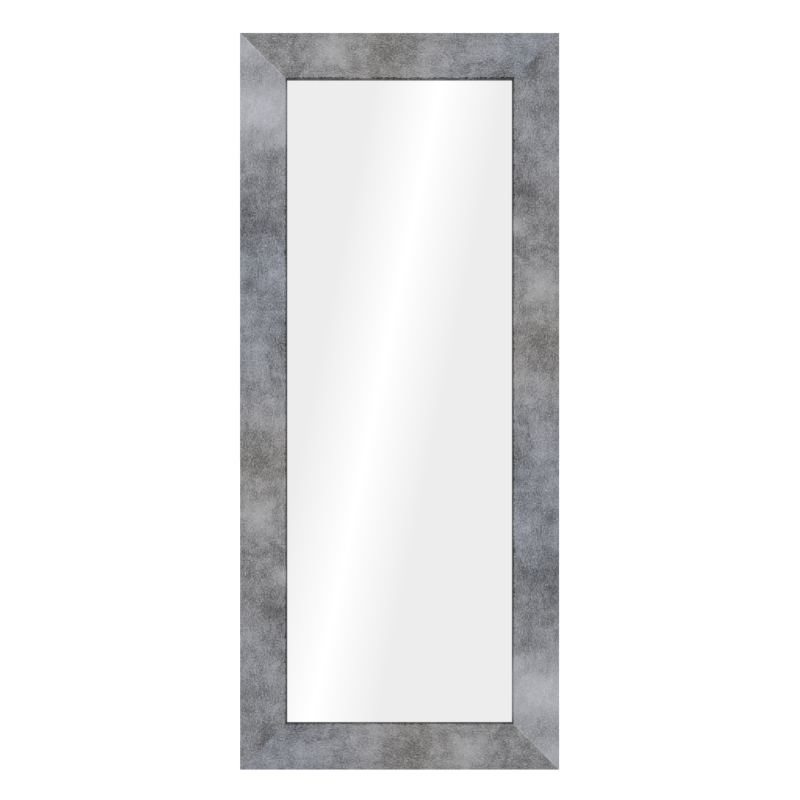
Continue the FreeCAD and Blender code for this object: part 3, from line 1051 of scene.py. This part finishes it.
@dataclass(frozen=True)
class PanScrew:
    """A pan-head screw with a tapered cross recess."""

    shank: float = 3.5 * MM
    length: float = 16 * MM
    tip: float = 4 * MM
    head: float = 7.4 * MM
    head_height: float = 2.4 * MM
    rim: float = 0.7 * MM
    dome_steps: int = 7
    recess_span: float = 4 * MM
    recess_foot: float = 1.8 * MM
    recess_slot: float = 0.9 * MM
    recess_depth: float = 1.4 * MM
    merged: float = 0.005 * MM
    segments: int = 32

    def build(self) -> bpy.types.Object:
        """Builds one screw along Z, with the underside of its head on the plane Z = 0.

        Returns:
            The screw.
        """
        radius = self.head / 2
        shoulder = self.shank / 2
        dome = quarter((0.0, self.rim), (radius, self.head_height - self.rim), self.dome_steps)
        profile = [(0.0, -self.length), (shoulder, self.tip - self.length), (shoulder, 0.0), (radius, 0.0)]
        profile += dome[:-1] + [(0.0, self.head_height)]
        screw = mesh_object("pan_head_screw", lathe(profile, self.segments))
        cross = self._cross()
        cut = screw.modifiers.new("recess", "BOOLEAN")
        cut.operation = "DIFFERENCE"
        cut.solver = "EXACT"
        cut.use_self = True
        cut.object = cross
        recessed = bmesh.new()
        recessed.from_mesh(applied(screw))
        bmesh.ops.remove_doubles(recessed, verts=recessed.verts, dist=self.merged)
        for used in (screw, cross):
            bpy.data.objects.remove(used)
        return mesh_object("recessed_screw", recessed)

    def _cross(self) -> bpy.types.Object:
        """Builds what the driver's recess is cut with.

        Returns:
            Two crossed bars that narrow downwards.
        """
        shape = bmesh.new()
        for turn in (0.0, RIGHT_ANGLE):
            bar = bmesh.ops.create_cube(shape, size=1.0)["verts"]
            for vert in bar:
                below = vert.co.z < 0
                span = self.recess_foot if below else self.recess_span
                height = self.head_height + self.recess_depth * (-1 if below else 1)
                vert.co = (vert.co.x * span, vert.co.y * self.recess_slot, height)
            bmesh.ops.rotate(shape, verts=bar, cent=(0, 0, 0), matrix=Matrix.Rotation(turn, 3, "Z"))
        return mesh_object("cross", shape)


@dataclass(frozen=True)
class RubberFoot:
    """A moulded bumper: a thin flange, a tapered body with a rounded rim, and a dimple in its end."""

    radius: float = 7 * MM
    height: float = 6 * MM
    flange: float = 0.8 * MM
    fillet: float = 0.3 * MM
    waist: float = 6.4 * MM
    crown: float = 1.2 * MM
    crown_steps: int = 6
    dimple: float = 2.2 * MM
    dimple_floor: float = 1.8 * MM
    dimple_depth: float = 0.5 * MM
    dimple_rise: float = 0.1 * MM
    segments: int = 40

    def build(self) -> bpy.types.Object:
        """Builds one bumper along Z, with its flange on the plane Z = 0.

        Returns:
            The bumper.
        """
        shoulder = self.height - self.crown
        floor = self.height - self.dimple_depth
        profile = [(0.0, 0.0), (self.radius, 0.0), (self.radius, self.flange)]
        profile += [(self.waist + self.fillet, self.flange + self.fillet)]
        profile += quarter((self.waist - self.crown, shoulder), (self.crown, self.crown), self.crown_steps)
        profile += [(self.dimple, self.height), (self.dimple_floor, floor + self.dimple_rise), (0.0, floor)]
        return mesh_object("rubber_foot", lathe(profile, self.segments))


@dataclass(frozen=True)
class Row:
    """A straight row of equal fasteners, each turned by chance up to the twist."""

    count: int
    start: Vector
    step: Vector
    points_along: Vector
    twist: float = 0.0
    seed: int = 0


class RowOfCopies:
    """A Geometry Nodes tree that sets copies of one pattern in a straight row."""

    INPUTS = {
        "Pattern": "NodeSocketObject",
        "Count": "NodeSocketInt",
        "Start": "NodeSocketVector",
        "Step": "NodeSocketVector",
        "Turn": "NodeSocketVector",
        "Twist": "NodeSocketFloat",
        "Seed": "NodeSocketInt",
        "Finish": "NodeSocketMaterial",
    }

    def __init__(self) -> None:
        """Builds the tree, with a named input for each of a row's sizes."""
        self.tree = bpy.data.node_groups.new("row_of_copies", "GeometryNodeTree")
        add_socket = self.tree.interface.new_socket
        self.keys = {name: add_socket(name, in_out="INPUT", socket_type=kind).identifier
                     for name, kind in self.INPUTS.items()}
        add_socket("Geometry", in_out="OUTPUT", socket_type="NodeSocketGeometry")
        graph = Graph(self.tree)
        first = graph.node("NodeGroupInput")
        fed = {name: graph.sibling(first, key) for name, key in self.keys.items()}
        line = graph.node("GeometryNodeMeshLine", {"mode": "OFFSET"},
                          {"Count": fed["Count"], "Start Location": fed["Start"], "Offset": fed["Step"]})
        pattern = graph.node("GeometryNodeObjectInfo", None, {"Object": fed["Pattern"]}, "Geometry")
        turn = graph.node("FunctionNodeEulerToRotation", None, {0: fed["Turn"]})
        copies = graph.node("GeometryNodeInstanceOnPoints", None,
                            {"Points": line, "Instance": pattern, "Rotation": turn})
        limits = {"Min_001": fed["Twist"] * -1.0, "Max_001": fed["Twist"], "Seed": fed["Seed"]}
        chance = graph.node("FunctionNodeRandomValue", {"data_type": "FLOAT"}, limits, "Value_001")
        twist = graph.node("FunctionNodeEulerToRotation", None, {0: graph.vector(0.0, 0.0, chance)})
        twisted = graph.node("GeometryNodeRotateInstances", None, {"Instances": copies, "Rotation": twist})
        plain = graph.node("GeometryNodeRealizeInstances", None, {"Geometry": twisted})
        dressed = graph.node("GeometryNodeSetMaterial", None, {"Geometry": plain, "Material": fed["Finish"]})
        graph.node("NodeGroupOutput", None, {"Geometry": dressed})

    def realise(self, name: str, pattern: bpy.types.Object, rows: Iterable[Row],
                finish: bpy.types.Material) -> bpy.types.Object:
        """Makes one plain piece of several rows.

        Args:
            name: The piece's name.
            pattern: One fastener, whose Z axis stands off the back. It is removed.
            rows: The rows.
            finish: The material of every copy.

        Returns:
            The piece, at the origin.
        """
        whole = bmesh.new()
        for row in rows:
            turn = Matrix((row.points_along, TO_WALL.cross(row.points_along), TO_WALL)).transposed()
            sizes = {"Pattern": pattern, "Count": row.count, "Start": row.start, "Step": row.step,
                     "Turn": Vector(turn.to_euler("XYZ")), "Twist": row.twist, "Seed": row.seed,
                     "Finish": finish}
            holder = mesh_object("row", bmesh.new())
            modifier = holder.modifiers.new("row", "NODES")
            modifier.node_group = self.tree
            for label, fed in sizes.items():
                modifier[self.keys[label]] = fed
            whole.from_mesh(applied(holder))
            bpy.data.objects.remove(holder)
        bpy.data.objects.remove(pattern)
        piece = mesh_object(name, whole)
        piece.data.materials.append(finish)
        return piece


Pieces = list[bpy.types.Object]
Nodes = dict[str, bpy.types.Object]


class SubAssembly(ABC):
    """A group of pieces that are made and dressed together."""

    nodes: Nodes

    @abstractmethod
    def build(self) -> Pieces:
        """Builds and dresses the pieces, and gives them back."""

    def dress(self, material: bpy.types.Material, *names: str) -> Pieces:
        """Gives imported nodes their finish.

        Args:
            material: The finish.
            *names: The nodes' names.

        Returns:
            The nodes' objects.
        """
        dressed = [self.nodes[name] for name in names]
        for node in dressed:
            node.data.materials.clear()
            node.data.materials.append(material)
        return dressed

    @staticmethod
    def settle(piece: bpy.types.Object, slot: str, *names: str) -> Pieces:
        """Lets a finished piece ride on the frame in place of its plain nodes.

        Args:
            piece: The piece.
            slot: The record's material slot, which is not used.
            *names: The nodes that it stands for.

        Returns:
            The piece alone.
        """
        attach(piece, FRAME_BODY)
        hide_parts(*names)
        return [piece]


@dataclass
class FrameMoulding(SubAssembly):
    """The four mitred lengths of moulding and the V nails across their mitres."""

    layout: Layout
    nodes: Nodes
    zinc: bpy.types.Material
    finish: FoiledMoulding = FoiledMoulding()

    def build(self) -> Pieces:
        """Dresses the lengths and the V nails as they are packed.

        Returns:
            The dressed nodes.
        """
        pieces = self.dress(self.zinc, "corner_v_nails")
        for edge in Edge:
            pieces += self.dress(self.finish.material(edge, self.layout), edge.value)
        return pieces


@dataclass
class Glazing(SubAssembly):
    """The glass and the felt that beds it on the lip."""

    nodes: Nodes
    glass: SilveredGlass = SilveredGlass()
    felt: SoftBlack = FELT_TAPE

    def build(self) -> Pieces:
        """Dresses the glass and the felt as they are packed.

        Returns:
            The dressed nodes.
        """
        strips = [f"glazing_felt_{edge.name.lower()}" for edge in Edge]
        glass = self.dress(self.glass.material(*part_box("mirror_glass")), "mirror_glass")
        return glass + self.dress(self.felt.material(), *strips)


@dataclass
class BackBoard(SubAssembly):
    """The hardboard back and the flat steel points that hold it in the rebate."""

    layout: Layout
    nodes: Nodes
    rows_of_copies: RowOfCopies
    zinc: bpy.types.Material
    board: Hardboard = Hardboard()
    point: FramingPoint = FramingPoint()
    corner_gap: float = 80 * MM
    per_stile: int = 8
    per_rail: int = 3
    crooked: float = math.radians(2.5)

    def rows(self) -> list[Row]:
        """Sets out the points along the four rebate walls, on the back of the board.

        Returns:
            One row to each length of the frame.
        """
        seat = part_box("backing_board")[1].y
        first = self.layout.moulding_width + self.corner_gap
        made = []
        for seed, edge in enumerate(Edge):
            count = self.per_stile if edge.upright else self.per_rail
            along, inward, _ = edge.axes
            step = (self.layout.run(edge) - 2 * first) / (count - 1)
            start = self.layout.corner(edge) + along * first + inward * self.layout.rebate_wall
            start.y = seat
            made.append(Row(count, start, along * step, inward, self.crooked, seed))
        return made

    def build(self) -> Pieces:
        """Builds the points and dresses the board.

        Returns:
            The board and the points.
        """
        board = self.dress(self.board.material(), "backing_board")
        points = self.rows_of_copies.realise("framing_points", self.point.build(), self.rows(), self.zinc)
        return board + self.settle(points, "zinc_steel", "backing_points")


class Hang(Enum):
    """The four hangers, with the way that each strap runs from its hinge."""

    PORTRAIT_LEFT = ("portrait_left", DOWN)
    PORTRAIT_RIGHT = ("portrait_right", DOWN)
    LANDSCAPE_TOP = ("landscape_top", RIGHT)
    LANDSCAPE_BOTTOM = ("landscape_bottom", RIGHT)


@dataclass
class Hangers(SubAssembly):
    """The folded straps, their D rings and their screws."""

    layout: Layout
    nodes: Nodes
    hinges: dict[str, Vector]
    rows_of_copies: RowOfCopies
    zinc: bpy.types.Material
    screw: PanScrew = PanScrew()
    strap_thickness: float = 2 * MM
    first_screw: float = 25 * MM
    screw_pitch: float = 15 * MM
    screws_per_strap: int = 2

    def rows(self) -> list[Row]:
        """Sets out the screws, whose recesses point any way.

        Returns:
            One row to each strap.
        """
        made = []
        for seed, hang in enumerate(Hang):
            name, runs = hang.value
            start = self.hinges[f"ring_{name}"] + runs * self.first_screw
            start.y = self.layout.back + self.strap_thickness
            made.append(Row(self.screws_per_strap, start, runs * self.screw_pitch, runs, math.pi, seed))
        return made

    def build(self) -> Pieces:
        """Builds the screws and dresses the straps and rings.

        Returns:
            The straps, the rings and the screws.
        """
        names = [hang.value[0] for hang in Hang]
        straps = self.dress(self.zinc, *(f"hanger_strap_{name}" for name in names))
        rings = self.dress(self.zinc, *(f"hanger_ring_{name}" for name in names))
        screws = self.rows_of_copies.realise("hanger_pan_screws", self.screw.build(), self.rows(), self.zinc)
        return straps + rings + self.settle(screws, "zinc_steel", "hanger_screws")


@dataclass
class Bumpers(SubAssembly):
    """The rubber bumpers that keep the mirror off the wall."""

    layout: Layout
    nodes: Nodes
    rows_of_copies: RowOfCopies
    rubber: SoftBlack = BUMPER_RUBBER
    foot: RubberFoot = RubberFoot()
    rise: float = 120 * MM
    per_stile: int = 2

    def rows(self) -> list[Row]:
        """Sets out the bumpers on the middle of each stile's back.

        Returns:
            One row to each stile.
        """
        inset = self.layout.rebate_wall / 2
        step = UP * (self.layout.height - 2 * self.rise) / (self.per_stile - 1)
        made = []
        for x in (self.layout.low.x + inset, self.layout.high.x - inset):
            start = Vector((x, self.layout.back, self.layout.low.z + self.rise))
            made.append(Row(self.per_stile, start, step, RIGHT))
        return made

    def build(self) -> Pieces:
        """Builds the bumpers.

        Returns:
            The bumpers, as one piece.
        """
        finish = self.rubber.material()
        made = self.rows_of_copies.realise("rubber_bumpers", self.foot.build(), self.rows(), finish)
        return self.settle(made, "bumper_rubber", "wall_bumpers")


@dataclass
class Studio:
    """A plain white studio: pale floor, soft light all round, and a camera square in front of the mirror."""

    layout: Layout
    pixel: float = 2.0355 * MM
    frame_pixels: int = 800
    centre_pixel: tuple[float, float] = (399.6, 401.3)
    camera_distance: float = 6.0
    sensor: float = 36.0
    floor_size: float = 60.0
    floor_glow: float = 0.75
    floor_shade: float = 0.45
    floor_cloud: Noise = Noise(0.4, 0.01, 3.0)
    floor_roughness: float = 0.9
    backdrop: float = 1.05
    ambient: float = 0.69
    band_gain: float = 0.181
    band_centre_pixel: float = 376.5
    band_slope: float = 0.2033
    band_half_pixels: float = 66.0
    bands_round: int = 60
    key_watts: float = 60.0
    key_size: float = 4.0
    key_place: tuple[float, float, float] = (-2.5, -4.0, 4.0)

    def build(self) -> None:
        """Builds the floor, the light and the camera."""
        self.build_floor()
        self.build_world()
        self.build_key()
        self.build_camera()

    def build_floor(self) -> None:
        """A wide pale floor that glows a little, so that it stays white in front of the mirror."""
        shape = bmesh.new()
        bmesh.ops.create_grid(shape, x_segments=1, y_segments=1, size=self.floor_size / 2)
        floor = mesh_object("floor", shape)
        floor.visible_glossy = False
        surface = Surface("pale_floor")
        shade = self.floor_cloud.read(surface.graph, surface.coordinates()) + self.floor_shade
        floor.data.materials.append(surface.principled(
            Base_Color=surface.graph.vector(shade, shade, shade),
            Roughness=self.floor_roughness,
            Emission_Color=WHITE,
            Emission_Strength=self.floor_glow,
        ))
        floor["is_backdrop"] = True

    def build_world(self) -> None:
        """White all round. Mirrors see soft slanted bands of brighter light in it, as from strip lights."""
        world = bpy.data.worlds.new("white_studio")
        bpy.context.scene.world = world
        world.use_nodes = True
        graph = Graph(world.node_tree)
        x, y, z = graph.split(graph.node("ShaderNodeTexCoord", None, None, "Generated"))
        level = graph.math("SQRT", x * x + y * y)
        azimuth = graph.math("ARCTAN2", x, y * -1.0)
        per_pixel = self.pixel / self.camera_distance
        middle = (self.band_centre_pixel - self.frame_pixels / 2) * per_pixel
        slanted = azimuth - (z / level) * self.band_slope - middle
        half_apart = math.pi / self.bands_round
        nearest = abs(graph.math("PINGPONG", slanted, half_apart))
        tent = graph.largest(1 - nearest / (self.band_half_pixels * per_pixel), 0.0)
        band = tent * self.band_gain + 1.0
        seen = graph.node("ShaderNodeLightPath", None, None, "Is Camera Ray")
        mirrored = graph.sibling(seen, "Is Glossy Ray")
        lit = (1 - seen) * (1 - mirrored)
        strength = seen * self.backdrop + mirrored * band + lit * self.ambient
        sky = graph.node("ShaderNodeBackground", None, {"Color": WHITE, "Strength": strength})
        graph.node("ShaderNodeOutputWorld", None, {"Surface": sky})
        bpy.context.scene.view_settings.view_transform = "Standard"

    def build_key(self) -> None:
        """One wide soft light high at the front left."""
        lamp = bpy.data.lights.new("key", "AREA")
        lamp.energy = self.key_watts
        lamp.size = self.key_size
        key = bpy.data.objects.new("key", lamp)
        key.location = self.key_place
        aim = UP * (self.layout.height / 2) - key.location
        key.rotation_euler = aim.to_track_quat("-Z", "Y").to_euler()
        key.visible_glossy = False
        bpy.context.scene.collection.objects.link(key)

    def build_camera(self) -> None:
        """A camera square on to the mirror, framed as in the photograph."""
        lens = bpy.data.cameras.new("camera")
        lens.sensor_width = self.sensor
        lens.lens = self.sensor * self.camera_distance / (self.pixel * self.frame_pixels)
        camera = bpy.data.objects.new("camera", lens)
        right = (self.frame_pixels / 2 - self.centre_pixel[0]) * self.pixel
        up = (self.centre_pixel[1] - self.frame_pixels / 2) * self.pixel
        camera.location = (right, self.layout.low.y - self.camera_distance, self.layout.height / 2 + up)
        camera.rotation_euler = (RIGHT_ANGLE, 0, 0)
        bpy.context.scene.collection.objects.link(camera)
        bpy.context.scene.camera = camera


def main() -> None:
    """Builds the sub-assemblies in order, then the studio round them."""
    logging.basicConfig(level=logging.INFO, format="%(name)s: %(message)s")
    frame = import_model()
    cad_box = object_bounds()
    layout = Layout(*cad_box)
    nodes = frame["nodes"]
    hinges = {joint["child"]: Vector(joint["pos_m"]) for joint in frame["joints"]}
    rows = RowOfCopies()
    zinc = ZincPlate().material()
    assemblies: list[SubAssembly] = [
        FrameMoulding(layout, nodes, zinc),
        Glazing(nodes),
        BackBoard(layout, nodes, rows, zinc),
        Hangers(layout, nodes, hinges, rows, zinc),
        Bumpers(layout, nodes, rows),
    ]
    for assembly in assemblies:
        for piece in assembly.build():
            LOG.info("%s: %s, %d faces", type(assembly).__name__, piece.name, len(piece.data.polygons))
    Studio(layout).build()


if __name__ == "__main__":
    main()
